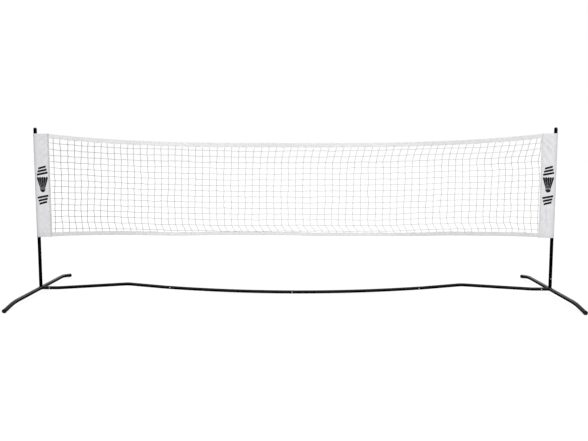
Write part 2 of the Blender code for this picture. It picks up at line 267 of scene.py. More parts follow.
def make_mesh(name, points, faces, uv=None, sharp=35):
    """uv holds one pair for each point, or one for each corner of each face."""
    mesh = bpy.data.meshes.new(name)
    mesh.from_pydata(np.asarray(points, float).tolist(), [], [list(f) for f in faces])
    if uv is not None:
        uv = np.asarray(uv, np.float32)
        if len(uv) != len(mesh.loops):
            corner = np.zeros(len(mesh.loops), np.int32)
            mesh.loops.foreach_get("vertex_index", corner)
            uv = uv[corner]
        mesh.uv_layers.new(name=UV_NAME).data.foreach_set("uv", uv.ravel())
    return shaded(mesh, sharp)


def ring_faces(rings, sides, closed=False):
    """Quads between rings of points, each ring with this many sides."""
    i = np.arange(rings if closed else rings - 1)[:, None]
    k = np.arange(sides)[None, :]
    after, beside = (i + 1) % rings, (k + 1) % sides
    quads = [i * sides + k, i * sides + beside, after * sides + beside, after * sides + k]
    return np.stack(quads, -1).reshape(-1, 4)


def pointed_faces(rings, sides):
    """Faces of rings that close in a point at each end: one point, the rings, and one point."""
    k = np.arange(sides)
    beside, tail = (k + 1) % sides, 1 + rings * sides
    first = np.stack([0 * k, 1 + k, 1 + beside], 1)
    last = np.stack([0 * k + tail, tail - sides + beside, tail - sides + k], 1)
    between = 1 + ring_faces(rings, sides)[:, ::-1]
    return [*first.tolist(), *last.tolist(), *between.tolist()]


def rings_along(points, radii, across, sides):
    """A ring of points round each point of a path. across is a direction square to the path."""
    along = unit(np.gradient(points, axis=0))
    first = unit(across - (along @ across)[:, None] * along)
    return points[:, None] + radii[:, None, None] * spokes(first, np.cross(along, first), sides)


def rounded_path(corners, radius, steps=18):
    """The corners joined by straight runs, with an arc of this radius at each bend."""
    corners = [Vector(c) for c in corners]
    points = [corners[0]]
    for before, here, after in zip(corners, corners[1:], corners[2:]):
        a = (before - here).normalized()
        b = (after - here).normalized()
        half_turn = (math.pi - a.angle(b)) / 2
        reach = radius * math.tan(half_turn)
        centre = here + (a + b).normalized() * radius / math.cos(half_turn)
        start = here + a * reach - centre
        end = here + b * reach - centre
        points += [centre + start.slerp(end, i / steps).normalized() * radius for i in range(steps + 1)]
    points.append(corners[-1])
    return np.array([tuple(p) for p in points])


def with_stations_near(points, radii, places, reach=0.008, step=0.0011):
    """The path again, with close-set points where the button holes go."""
    lengths = lengths_along(points)
    wanted = set(np.round(lengths, 6))
    fine = np.linspace(0, lengths[-1], 4000)
    on_path = points_at(fine, lengths, points)
    for place in places:
        here = fine[np.argmin(np.linalg.norm(on_path - np.array(place), axis=1))]
        near = here + np.arange(-reach, reach + step / 2, step)
        near = near[(near > 0.002) & (near < lengths[-1] - 0.002)]
        clear = [s for s in near if min(abs(s - w) for w in wanted) > step * 0.4]
        wanted.update(np.round(clear, 6))
    stations = np.array(sorted(wanted))
    return points_at(stations, lengths, points), np.interp(stations, lengths, radii)


def arc(middle, radius, height, start, step):
    """A rounded corner of a turned profile: (radius, height) points down from start degrees to 0."""
    turns = [math.radians(degrees) for degrees in range(start, -1, -step)]
    return [(middle[0] + radius * math.cos(a), middle[1] + height * math.sin(a)) for a in turns]


def turned_mesh(name, profile, segments, matrix):
    """A profile of (radius, height) from the top of the axis to its foot, turned about local Z."""
    a = 2 * math.pi * np.arange(segments) / segments
    rings = [np.stack([r * np.cos(a), r * np.sin(a), h + 0 * a], 1) for r, h in profile[1:-1]]
    ends = [[(0.0, 0.0, profile[i][1])] for i in (0, -1)]
    points = np.concatenate([ends[0], *rings, ends[1]])
    m = np.array(matrix)
    points = points @ m[:3, :3].T + m[:3, 3]
    points[:, 2] = np.maximum(points[:, 2], 0.0)     # what reaches the floor is worn flat
    return make_mesh(name, points, pointed_faces(len(rings), segments))


def frame_at(place, along, outward):
    """Local X runs along a tube and local Z points outwards, through its wall."""
    x, z = Vector(along).normalized(), Vector(outward).normalized()
    return Matrix.Translation(Vector(place)) @ Matrix((x, z.cross(x), z)).transposed().to_4x4()


def cut_holes(mesh, seats):
    """The mesh with a round hole through the tube's wall at each (place, along, outward)."""
    bm = bmesh.new()
    for seat in seats:
        bmesh.ops.create_cone(
            bm, cap_ends=True, segments=36, radius1=HOLE_R, radius2=HOLE_R, depth=DRILL_LENGTH,
            matrix=frame_at(*seat) @ Matrix.Translation((0, 0, DRILL_MIDDLE)),
        )
    drills = bpy.data.meshes.new("drills")
    bm.to_mesh(drills)
    bm.free()
    tube, cutter = new_object("tube", mesh), new_object("cutter", drills)
    boolean = tube.modifiers.new("holes", "BOOLEAN")
    boolean.operation, boolean.object = "DIFFERENCE", cutter
    cut = bpy.data.meshes.new_from_object(tube.evaluated_get(bpy.context.evaluated_depsgraph_get()))
    for obj in (tube, cutter):
        bpy.data.objects.remove(obj, do_unlink=True)
    return shaded(cut)


def tube_mesh(name, points, radii, seats=(), across=BACK):
    """A hollow tube with rounded-off ends and button holes. across is square to all of it."""
    radii = np.broadcast_to(radii, len(points))
    points, radii = with_stations_near(points, radii, [seat[0] for seat in seats])
    along = unit(np.gradient(points, axis=0))
    outer = points.copy()
    outer[0] += along[0] * LIP
    outer[-1] -= along[-1] * LIP
    path = np.concatenate([points[:1], outer, points[-1:], points[::-1]])
    sizes = np.concatenate([radii[:1] - LIP, radii, radii[-1:] - LIP, radii[::-1] - WALL])
    outward = rings_along(points, np.ones(len(points)), across, TUBE_SIDES) - points[:, None]
    order = np.concatenate([[0], np.arange(len(points)), [-1], np.arange(len(points))[::-1]])
    rings = path[:, None] + sizes[:, None, None] * outward[order]
    mesh = make_mesh(name, rings.reshape(-1, 3), ring_faces(len(path), TUBE_SIDES, closed=True))
    return cut_holes(mesh, seats) if seats else mesh


class Sheet:
    """A sheet of cloth about a grid of points on its middle surface.

    Its UV is each row's distance across it, and each column's distance along it. A sheet that
    would face inwards is turned over.
    """

    def __init__(self, grid, thickness, across, along, turn_over):
        uv = np.stack(np.broadcast_arrays(across, along), -1)
        if turn_over:
            grid, uv = grid[::-1], uv[::-1]
        self.facing = unit(np.cross(np.gradient(grid, axis=0), np.gradient(grid, axis=1)))
        half = self.facing * np.asarray(thickness)[..., None] / 2
        self.outside, self.inside, self.uv = grid + half, grid - half, uv.reshape(-1, 2)

    def mesh(self, name):
        """The sheet with both its faces and its rim."""
        rows, columns = self.outside.shape[:2]
        count = rows * columns
        index = np.arange(count).reshape(rows, columns)
        quads = np.stack([index[:-1, :-1], index[1:, :-1], index[1:, 1:], index[:-1, 1:]], -1).reshape(-1, 4)
        border = np.concatenate([index[:, 0], index[-1, 1:], index[-2::-1, -1], index[0, -2:0:-1]])
        after = np.roll(border, -1)
        rim = np.stack([after, border, border + count, after + count], -1)
        points = np.concatenate([self.outside.reshape(-1, 3), self.inside.reshape(-1, 3)])
        faces = np.concatenate([quads, quads[:, ::-1] + count, rim])
        return make_mesh(name, points, faces, np.concatenate([self.uv, self.uv]), sharp=60)

    def at(self, row, column):
        """Points and outward directions at fractional grid places on its outside."""
        row, column = np.broadcast_arrays(row, column)
        r0 = np.clip(np.floor(row).astype(int), 0, self.outside.shape[0] - 2)
        c0 = np.clip(np.floor(column).astype(int), 0, self.outside.shape[1] - 2)
        fr, fc = (row - r0)[:, None], (column - c0)[:, None]
        found = []
        for field in (self.outside, self.facing):
            low = field[r0, c0] * (1 - fr) + field[r0 + 1, c0] * fr
            high = field[r0, c0 + 1] * (1 - fr) + field[r0 + 1, c0 + 1] * fr
            found.append(low * (1 - fc) + high * fc)
        return found[0], unit(found[1])


def add_stitches(name, lines):
    """Short stitches along each (points, outward directions) line."""
    shape = ((-0.36, 0.8), (0.0, 1.0), (0.36, 0.8))     # places along a stitch, and how thick it is
    sides = 5
    stitches = []
    for line, facing in lines:
        lengths = lengths_along(line)
        middles = np.arange(STITCH_STEP / 2, lengths[-1], STITCH_STEP)
        at = points_at(middles, lengths, line)
        out = unit(points_at(middles, lengths, facing))
        along = unit(points_at(middles + 1e-3, lengths, line) - points_at(middles - 1e-3, lengths, line))
        around = spokes(out, np.cross(along, out), sides)
        half, sunk = along * STITCH_LENGTH / 2, at - out * THREAD_R
        rings = [
            (at + along * s * STITCH_LENGTH + out * THREAD_R * 0.45 * r)[:, None] + THREAD_R * r * around
            for s, r in shape
        ]
        stitches.append(np.concatenate([(sunk - half)[:, None], *rings, (sunk + half)[:, None]], 1))
    stitches = np.concatenate(stitches)
    count, size = stitches.shape[:2]
    one = pointed_faces(len(shape), sides)
    faces = [[i + base for i in face] for base in range(0, count * size, size) for face in one]
    mesh = make_mesh("stitches", stitches.reshape(-1, 3), faces)
    return add_object(name, mesh, THREAD, "net")


# ---------------- materials

class Nodes:
    """A node tree with short calls for its nodes."""

    def __init__(self, owner):
        owner.use_nodes = True
        self.tree = owner.node_tree

    def feed(self, socket, value):
        if isinstance(value, bpy.types.NodeSocket):
            self.tree.links.new(value, socket)
        elif isinstance(value, tuple) and socket.type == "RGBA":
            socket.default_value = (*value, 1.0)
        else:
            socket.default_value = value

    def node(self, kind, inputs=None, **settings):
        made = self.tree.nodes.new("ShaderNode" + kind)
        for key, value in settings.items():
            setattr(made, key, value)
        for key, value in (inputs or {}).items():
            self.feed(made.inputs[key], value)
        return made

    def math(self, operation, *values):
        return self.node("Math", dict(enumerate(values)), operation=operation).outputs[0]

    def split(self, vector):
        return tuple(self.node("SeparateXYZ", {0: vector}).outputs)

    def ramp(self, value, *stops):
        """stops are (position, colour or grey)."""
        made = self.node("ValToRGB", {0: value})
        elements = made.color_ramp.elements
        while len(elements) < len(stops):
            elements.new(0.5)
        for element, (position, shade) in zip(elements, stops):
            element.position = position
            rgb = shade if isinstance(shade, tuple) else (shade,) * 3
            element.color = (*rgb, 1.0)
        return made.outputs[0]

    def by_ray(self, kind, others, these):
        """The shader these for rays of one kind, such as Is Camera Ray, and others for the rest."""
        chosen = self.node("LightPath").outputs[kind]
        return self.node("MixShader", {0: chosen, 1: others, 2: these}).outputs[0]


class Material(Nodes):
    """A Principled material with short calls for its procedural nodes."""

    def __init__(self, name, color, roughness, metallic=0.0, specular=0.5, sheen=0.0):
        self.material = bpy.data.materials.new(name)
        self.material.diffuse_color = (*color, 1.0)
        super().__init__(self.material)
        self.shader = self.tree.nodes["Principled BSDF"]
        self.set("Base Color", color)
        self.set("Roughness", roughness)
        self.set("Metallic", metallic)
        self.set("Specular IOR Level", specular)
        self.set("Sheen Weight", sheen)
        self.set("Sheen Roughness", 0.4)

    def set(self, socket, value):
        self.feed(self.shader.inputs[socket], value)

    def place(self):
        """Where a point is on the object, in metres."""
        return self.node("TexCoord").outputs["Object"]

    def along_net(self):
        """0 at the net's left end, and 1 at its right end."""
        return self.math("MULTIPLY_ADD", self.split(self.place())[0], 1 / NET_SPAN, 0.5)

    def uv(self):
        return self.split(self.node("UVMap", uv_map=UV_NAME).outputs[0])[:2]

    def noise(self, scale, detail=2.0, rough=0.5, vector=None, distortion=0.0):
        inputs = {"Vector": vector or self.place(), "Scale": scale, "Detail": detail}
        inputs |= {"Roughness": rough, "Distortion": distortion}
        return self.node("TexNoise", inputs).outputs[0]

    def speckle(self, noise, low, high):
        """A ramp over noise(scale, detail, ...), from one (position, shade) to another."""
        return self.ramp(self.noise(*noise), low, high)

    def blend(self, factor, a, b, mode="MIX"):
        return self.node("Mix", {0: factor, 6: a, 7: b}, data_type="RGBA", blend_type=mode).outputs[2]

    def tint(self, *shades):
        """Multiply the base colour by each shade."""
        for shade in shades:
            color = self.shader.inputs["Base Color"].links[0].from_socket
            self.set("Base Color", self.blend(1.0, color, shade, "MULTIPLY"))

    def bump(self, height, distance, below=None):
        inputs = {"Strength": 1.0, "Distance": distance, "Height": height}
        if below is not None:
            inputs["Normal"] = below
        return self.node("Bump", inputs).outputs[0]


def grey(low, blue=0.0):
    """A near-white or near-black colour, a little bluer than grey."""
    return (low, low, low + blue)


def paint_material():
    """Satin black powder coat: fine orange peel, a little dust, and faint rubbed places."""
    m = Material("black_paint_finish", grey(0.0015, 0.0002), 0.3, specular=0.20)
    patches = m.noise(38, 5, 0.65, distortion=0.4)
    rubbed = m.ramp(patches, (0.52, grey(0.0006, 0.0001)), (0.72, grey(0.0018, 0.00025)))
    dust = m.speckle((420, 3, 0.6), (0.55, 0.0), (0.8, 0.08))
    m.set("Base Color", m.blend(dust, rubbed, grey(0.016)))
    m.set("Roughness", m.speckle((70, 3), (0.3, 0.15), (0.7, 0.25)))
    peel = m.bump(m.noise(650, 2), 0.00006)
    m.set("Normal", m.bump(m.noise(2400, 1), 0.000015, below=peel))
    return m.material


def steel_material():
    """Zinc-plated steel: fine brushed scratches and slight dulling."""
    m = Material("bright_steel_finish", (0.84, 0.84, 0.86), 0.3, metallic=0.72)
    m.set("Base Color", m.speckle((900, 3, 0.6), (0.3, grey(0.74, 0.02)), (0.75, grey(0.90, 0.01))))
    m.set("Roughness", m.speckle((1500, 2), (0.3, 0.26), (0.75, 0.42)))
    stretch = m.node("Mapping", {"Scale": (1.0, 1.0, 14.0), "Vector": m.place()})
    m.set("Normal", m.bump(m.noise(700, 3, 0.7, vector=stretch.outputs[0]), 0.00003))
    return m.material


def rubber_material():
    """Matte moulded rubber with a fine grain and scuffs."""
    m = Material("black_rubber_finish", grey(0.014), 0.8, specular=0.3)
    m.set("Base Color", m.speckle((160, 4, 0.7), (0.5, grey(0.009)), (0.75, grey(0.022, -0.001))))
    m.set("Roughness", m.speckle((300, 2), (0.3, 0.7), (0.7, 0.9)))
    m.set("Normal", m.bump(m.noise(1900, 3), 0.00005))
    return m.material


def plastic_material():
    """Moulded black plastic with a spark-eroded grain."""
    m = Material("black_plastic_finish", grey(0.008, 0.001), 0.42, specular=0.35)
    m.set("Base Color", m.speckle((240, 3), (0.35, 0.007), (0.7, 0.013)))
    m.set("Roughness", m.speckle((350, 2), (0.3, 0.36), (0.7, 0.5)))
    m.set("Normal", m.bump(m.noise(2600, 2), 0.00003))
    return m.material


def thread_material():
    m = Material("sewing_thread_finish", grey(0.6, 0.02), 0.7, specular=0.3)
    m.set("Base Color", m.speckle((500, 2), (0.3, grey(0.50, 0.02)), (0.7, grey(0.66, 0.02))))
    m.set("Normal", m.bump(m.noise(3500, 2), 0.00006))
    return m.material


def weave_height(m, pitch):
    """Plain weave: threads that pass over and under each other, this far apart."""
    across, upward = (m.math("SINE", m.math("MULTIPLY", way, math.pi / pitch)) for way in m.uv())
    return m.math("MULTIPLY", across, upward)


def ink_material():
    """Black screen print on cloth: the weave shows through, with small thin places."""
    m = Material("black_print_finish", grey(0.006, 0.001), 0.7, specular=0.25)
    thin = (0.78, grey(0.01875, 0.002))
    m.set("Base Color", m.speckle((900, 3, 0.6), (0.62, grey(0.005, 0.001)), thin))
    m.set("Roughness", m.speckle((240, 2), (0.3, 0.58), (0.7, 0.76)))
    m.set("Normal", m.bump(weave_height(m, SLEEVE_WEAVE), 0.00005))
    return m.material


def cloth_material(name, dark, light, pitch, blotch=60):
    """Woven cloth: the weave itself with painted shade where its threads pass under, thread-to-thread
    variation, slubs and soft uneven tone.
    """
    m = Material(name, light, 0.85, specular=0.2, sheen=0.15)
    weave = weave_height(m, pitch)
    u, v = m.uv()
    slub = m.node("CombineXYZ", {0: m.math("MULTIPLY", u, 0.12), 1: v})
    threads = m.noise(1100, 2, vector=slub.outputs[0])
    m.set("Base Color", m.speckle((blotch, 3, 0.55), (0.3, dark), (0.72, light)))
    m.tint(
        # Painted shade in the low places of the weave.
        m.ramp(m.math("MULTIPLY_ADD", weave, 0.5, 0.5), (0.0, 0.90), (1.0, 1.0)),
        m.ramp(threads, (0.3, 0.965), (0.7, 1.0)),
    )
    m.set("Roughness", m.ramp(threads, (0.3, 0.78), (0.7, 0.91)))
    soft = m.bump(m.noise(120, 3, 0.6), 0.0004)
    m.set("Normal", m.bump(weave, 0.00007, below=soft))
    return m


def sleeve_material():
    """Sleeve cloth, with painted shade: greyer round the outside of the post, where the cloth turns away
    from the light, and darker towards the bottom, most of all along the bottom hem.
    """
    m = cloth_material(
        "white_sleeve_cloth_finish", (0.638, 0.636, 0.656), (0.692, 0.690, 0.711), SLEEVE_WEAVE, 26
    )
    x, _, z = m.split(m.place())
    outside = m.math("SUBTRACT", m.math("ABSOLUTE", x), POST_X - 0.015)
    height = m.math("MULTIPLY", m.math("SUBTRACT", z, SLEEVE_BOTTOM), 1 / 0.30)
    m.tint(
        # Painted shade: the cloth greys towards its outer edge round the post, where it turns away from the
        # light.
        m.ramp(
            m.math("MULTIPLY", outside, 1 / 0.030),
            (0.05, 1.0), (0.26, 0.95), (0.43, 0.90), (0.61, 0.785), (0.78, 0.61), (0.90, 0.48),
        ),
        # Painted shade: darker towards the bottom edge, most of all in the bottom hem.
        m.ramp(height, (0.0, 0.84), (0.035, 0.93), (0.075, 0.955), (0.085, 0.985), (1.0, 1.0)),
    )
    return m.material


def tape_material(name, *tones):
    """Tape, darker in some stretches by painted shade: tones are (place from 0, left, to 1, right, grey)."""
    m = cloth_material(name, grey(0.73, 0.01), grey(0.82, 0.01), TAPE_WEAVE)
    m.tint(m.ramp(m.along_net(), *tones))
    return m.material


def binding_material():
    """The strip over the sleeve's seam, with painted shade: greyer at the net's left end."""
    m = cloth_material("seam_binding_finish", grey(0.575, 0.02), grey(0.64, 0.02), TAPE_WEAVE)
    # Painted shade: the strip greys towards the net's left end.
    m.tint(m.ramp(m.split(m.place())[0], (0.0, 0.87), (1.0, 1.0)))
    return m.material


def twine_material(name, lay_low, speckle_low):
    """Three-ply twine: twisted strands, fibres, painted shade in the lay between them, and painted shade
    greying the net's ends.
    """
    m = Material(name, grey(0.75, 0.01), 0.8, specular=0.2, sheen=0.1)
    u, v = m.uv()
    turns = m.math("MULTIPLY_ADD", v, 1 / TWIST_PITCH, u)
    ply = m.math("ABSOLUTE", m.math("SINE", m.math("MULTIPLY", turns, 3 * math.pi)))
    m.set("Base Color", m.speckle((60, 3), (0.3, grey(0.54, 0.01)), (0.7, grey(0.61, 0.01))))
    m.tint(
        # Painted shade in the lay between the strands.
        m.ramp(ply, (0.0, lay_low), (0.5, 0.96), (1.0, 1.0)),
        m.speckle((1500, 2), (0.35, speckle_low), (0.7, 1.0)),
        # Painted shade: the netting greys towards its ends, most at the left.
        m.ramp(
            m.along_net(), (0.04, TWINE_END_SHADE), (0.22, 0.86), (0.45, 1.0), (0.80, 1.0), (0.97, 0.88)
        ),
    )
    fibre = m.noise(2600, 2)
    m.set("Roughness", m.ramp(fibre, (0.3, 0.72), (0.7, 0.88)))
    m.set("Normal", m.bump(fibre, 0.00004, below=m.bump(ply, 0.0003)))
    return m.material


PAINT = paint_material()
STEEL = steel_material()
RUBBER = rubber_material()
PLASTIC = plastic_material()
SLEEVE = sleeve_material()
# Painted shade along both tapes: darker in stretches and towards the ends, most at the right.
TOP_TAPE = tape_material(
    "white_top_tape_finish", (0.03, 0.92), (0.17, 0.94), (0.25, 1.0), (0.35, 0.975), (0.45, 0.94),
    (0.68, 0.955), (0.78, 0.86), (0.95, 0.83),
)
BOTTOM_TAPE = tape_material(
    "white_bottom_tape_finish", (0.03, 0.81), (0.17, 0.82), (0.24, 0.92), (0.68, 0.90), (0.74, 0.81),
    (0.95, 0.76),
)
BINDING = binding_material()
TWINE = twine_material("white_twine_finish", 0.66, 0.94)
# Knots: deeper painted shade in the lay, and darker speckles, than the strings.
KNOT = twine_material("white_knot_finish", 0.60, 0.80)
THREAD = thread_material()
INK = ink_material()


# ---------------- feet and stubs

def make_foot(side, x):
    tip_y, tip_z = FOOT_TIP
    half = [(x, FOOT_BEND_Y, FOOT_Z), (x, tip_y, tip_z)]
    corners = [(x, -y, z) for x, y, z in half[::-1]] + half
    path = rounded_path(corners, FOOT_BEND_R)
    add_painted(f"{side}_foot_tube", tube_mesh("foot_tube", path, FOOT_R, across=np.array((1.0, 0, 0))))
    for end, way in (("front", -1), ("back", 1)):
        direction = Vector((0, way * (tip_y - FOOT_BEND_Y), tip_z - FOOT_Z)).normalized()
        make_plug(f"{side}_{end}_foot_cap", Vector((x, way * tip_y, tip_z)), direction)


def make_plug(node, tip, direction):
    """A rubber plug with a rounded head, a shallow dish in its end, and a flat worn sole."""
    plug_r = FOOT_R - WALL - CLEAR
    dish = PLUG_HEAD - 0.0007
    profile = [
        (0.0, dish), (0.0064, dish), (0.0072, PLUG_HEAD - 0.0002),
        *arc((PLUG_R - PLUG_CORNER, PLUG_HEAD - PLUG_CORNER), PLUG_CORNER, PLUG_CORNER, 90, 10),
        (PLUG_R, CLEAR + 0.0008), (PLUG_R - 0.0002, CLEAR + 0.0003), (PLUG_R - 0.0006, CLEAR),
        (plug_r, CLEAR), (plug_r, -PLUG_DEPTH + 0.002), (plug_r - 0.001, -PLUG_DEPTH), (0.0, -PLUG_DEPTH),
    ]
    matrix = Matrix.Translation(tip) @ direction.to_track_quat("Z", "X").to_matrix().to_4x4()
    mesh = turned_mesh("foot_plug", profile, 64, matrix)
    add_object(node + "_moulded", mesh, RUBBER, "frame", [node])


def weld_bead(axis_point, direction, seed):
    """Rippled weld metal along the line where a stub meets the foot tube."""
    rng = np.random.default_rng(seed)
    a = 2 * math.pi * np.arange(240) / 240
    outward = spokes(np.cross(direction, BACK), BACK, len(a))
    reach = STUB_R + 0.0004
    rise = np.sqrt(FOOT_R**2 - (reach * np.cos(a)) ** 2) + 0.0002
    line = axis_point + rise[:, None] * direction + reach * outward
    ripple = np.abs(np.sin(a * BEAD_RIPPLES / 2 + 0.5 * np.sin(3 * a + rng.uniform(0, 6))))
    size = BEAD_R * (0.86 + 0.16 * ripple + 0.05 * np.sin(2 * a + rng.uniform(0, 6)))
    along = unit(np.roll(line, -1, axis=0) - np.roll(line, 1, axis=0))
    first = unit(outward - (outward * along).sum(1, keepdims=True) * along)
    sides = 14
    rings = line[:, None] + size[:, None, None] * spokes(first, np.cross(along, first), sides)
    return make_mesh("weld", rings.reshape(-1, 3), ring_faces(len(line), sides, closed=True), sharp=180)


def make_stub(node, seed, foot_axis, direction, outward, sizes):
    """A stub tube welded to the foot, with its button hole. Gives its button's seat."""
    length, button = sizes
    stations = (FOOT_R - WALL / 2, length * 0.5, length - 0.002, length)
    path = np.array([foot_axis + direction * s for s in stations])
    seat = (foot_axis + direction * button, direction, outward)
    bm = bmesh.new()
    bm.from_mesh(tube_mesh("stub", path, [STUB_R, STUB_R, STUB_R, STUB_R - 0.0008], [seat]))
    bm.from_mesh(weld_bead(foot_axis, direction, seed))
    mesh = bpy.data.meshes.new(node)
    bm.to_mesh(mesh)
    bm.free()
    add_painted(node, mesh, "_welded")
    return seat


# ---------------- posts and floor bar

def make_button(name, seat):
    """A domed snap pin with a small turned step, standing out through its hole."""
    profile = [
        (0.0, BUTTON_TOP),
        *arc((0.0, BUTTON_TOP - BUTTON_DOME), BUTTON_R, BUTTON_DOME, 80, 10),
        (BUTTON_R, BUTTON_BOTTOM + 0.0004), (BUTTON_R - 0.0004, BUTTON_BOTTOM), (0.0, BUTTON_BOTTOM),
    ]
    mesh = turned_mesh("snap_pin", profile, 40, frame_at(*seat))
    add_object(f"{name}_button_turned", mesh, STEEL, name + "_snap", [name + "_button"])


def make_post(side, x, seat):
    path = np.array([(x, 0, z) for z in np.linspace(post_low.z, post_high.z, 9)])
    add_painted(f"{side}_post", tube_mesh("post", path, TUBE_R, [seat]))
    make_post_cap(f"{side}_post_cap", x)


def make_post_cap(node, x):
    """A push-in plug with a domed head, a fine parting groove and a flat moulding mark on top."""
    low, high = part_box(node)
    head_z = post_high.z + CLEAR
    dome_z = head_z + 0.0009
    profile = [
        (0.0, high.z - 0.0002), (0.0011, high.z - 0.0002), (0.0014, high.z),
        *arc((0.0, dome_z), TUBE_R, high.z - dome_z, 78, 6),
        (TUBE_R, head_z + 0.0005), (TUBE_R - 0.0004, head_z), (STUB_R, head_z),
        (STUB_R, low.z + 0.002), (STUB_R - 0.001, low.z), (0.0, low.z),
    ]
    mesh = turned_mesh("post_plug", profile, 64, Matrix.Translation((x, 0, 0)))
    add_object(node + "_moulded", mesh, PLASTIC, "frame", [node])


def swaged(full, swage):
    """A tube's path and radii, with a narrowed end that plugs into the next tube."""
    return np.concatenate([full, swage]), [TUBE_R] * len(full) + [STUB_R] * len(swage)


def make_outer_bar(side, sign, seats):
    corners = [
        (POST_X - FOOT_R - WELD_H - END_GAP, FOOT_Z),
        (BAR_LEVEL_X, FOOT_Z),
        BAR_PEAK,
        (BAR_JOINT_X + SWAGE_TAPER, inner_bar_z(BAR_JOINT_X) + 0.0002),
    ]
    full = rounded_path([(sign * x, 0, z) for x, z in corners], BAR_BEND_R)
    swage = bar_path(sign * np.linspace(BAR_JOINT_X, BAR_JOINT_X - SWAGE_LENGTH, 5))
    add_painted(f"{side}_outer_bar", tube_mesh("outer_bar", *swaged(full, swage), seats))


def make_inner_bars(left_seat, right_seat, middle_seat):
    end_x = BAR_JOINT_X - END_GAP
    left = bar_path(np.linspace(-end_x, MIDDLE_JOINT_X - END_GAP, 41))
    right = bar_path(np.linspace(end_x, MIDDLE_JOINT_X + SWAGE_TAPER, 41))
    swage = bar_path(np.linspace(MIDDLE_JOINT_X, MIDDLE_JOINT_X - SWAGE_LENGTH, 5))
    add_painted("left_inner_bar", tube_mesh("inner_bar", left, TUBE_R, [left_seat, middle_seat]))
    add_painted("right_inner_bar", tube_mesh("inner_bar", *swaged(right, swage), [right_seat, middle_seat]))


def make_frame():
    joint_seats = []
    for number, (side, sign) in enumerate(SIDES):
        x = sign * POST_X
        foot_axis = np.array((x, 0.0, FOOT_Z))
        inward = np.array((-sign, 0.0, 0.0))
        make_foot(side, x)
        post_seat = make_stub(f"{side}_post_stub", number, foot_axis, UP, sign * FRONT, POST_STUB)
        end_seat = make_stub(f"{side}_bar_stub", number + 2, foot_axis, inward, FRONT, BAR_STUB)
        make_post(side, x, post_seat)
        joint_seats.append(bar_seat(sign * (BAR_JOINT_X - SWAGE_BUTTON), -sign))
        make_outer_bar(side, sign, [end_seat, joint_seats[-1]])
        make_button(f"{side}_post", post_seat)
        make_button(f"{side}_bar_end", end_seat)
        make_button(f"{side}_bar_joint", joint_seats[-1])
    middle_seat = bar_seat(MIDDLE_JOINT_X - SWAGE_BUTTON, -1)
    make_inner_bars(*joint_seats, middle_seat)
    make_button("middle_joint", middle_seat)


# ---------------- sleeves

def pocket_line():
    """The sleeve's middle line seen from above, from the front seam round the post to the back one.

    Gives points of (distance from the pocket's centre towards the net, y), and the length of the
    flat cloth between the seam and the post.
    """
    tip = POCKET_X - SEAM_X - 0.0004
    touch = math.atan2(SEAM_HALF, tip) + math.acos(POCKET_R / math.hypot(tip, SEAM_HALF))
    flat_steps, round_steps = 34, 26
    on_circle = (POCKET_R * math.cos(touch), POCKET_R * math.sin(touch))
    t = np.linspace(0, 1, flat_steps + 1)[:-1]
    flat = np.stack([tip + (on_circle[0] - tip) * t, SEAM_HALF + (on_circle[1] - SEAM_HALF) * t], 1)
    a = np.linspace(touch, 2 * math.pi - touch, round_steps + 1)
    turn = np.stack([POCKET_R * np.cos(a), POCKET_R * np.sin(a)], 1)
    line = np.concatenate([flat, turn, flat[::-1] * (1, -1)]) * (1, -1)
    return line, math.hypot(on_circle[0] - tip, on_circle[1] - SEAM_HALF)


def sleeve_folds(seed, q, z, flat_length):
    """How far the slack cloth stands out between the seam and the post."""
    t = np.clip(q / flat_length, 0, 1)
    slack = np.sin(math.pi * t) ** 1.2
    height = (z - SLEEVE_BOTTOM) / (SLEEVE_TOP - SLEEVE_BOTTOM)
    rng = np.random.default_rng(seed)
    out = 0.0016 * (0.7 + 0.5 * waves(seed, z, q * 0.4, 0.24))
    for middle, lean, length, size in (
        (0.90, 0.9, 0.030, 0.0013),
        (0.78, 0.55, 0.036, 0.0016),
        (0.64, 0.75, 0.042, 0.0009),
        (0.40, -0.2, 0.034, 0.0006),
        (0.22, 0.05, 0.026, 0.0010),
        (0.07, -0.35, 0.024, 0.0007),
    ):
        phase = rng.uniform(0, 2 * math.pi)
        ridge = np.sin(2 * math.pi * (q * math.cos(lean) + z * math.sin(lean)) / length + phase)
        out = out + size * hump(height, middle, 0.10) * ridge
    out = out + 0.00035 * waves(seed + 50, q, z, 0.020)
    return slack * out


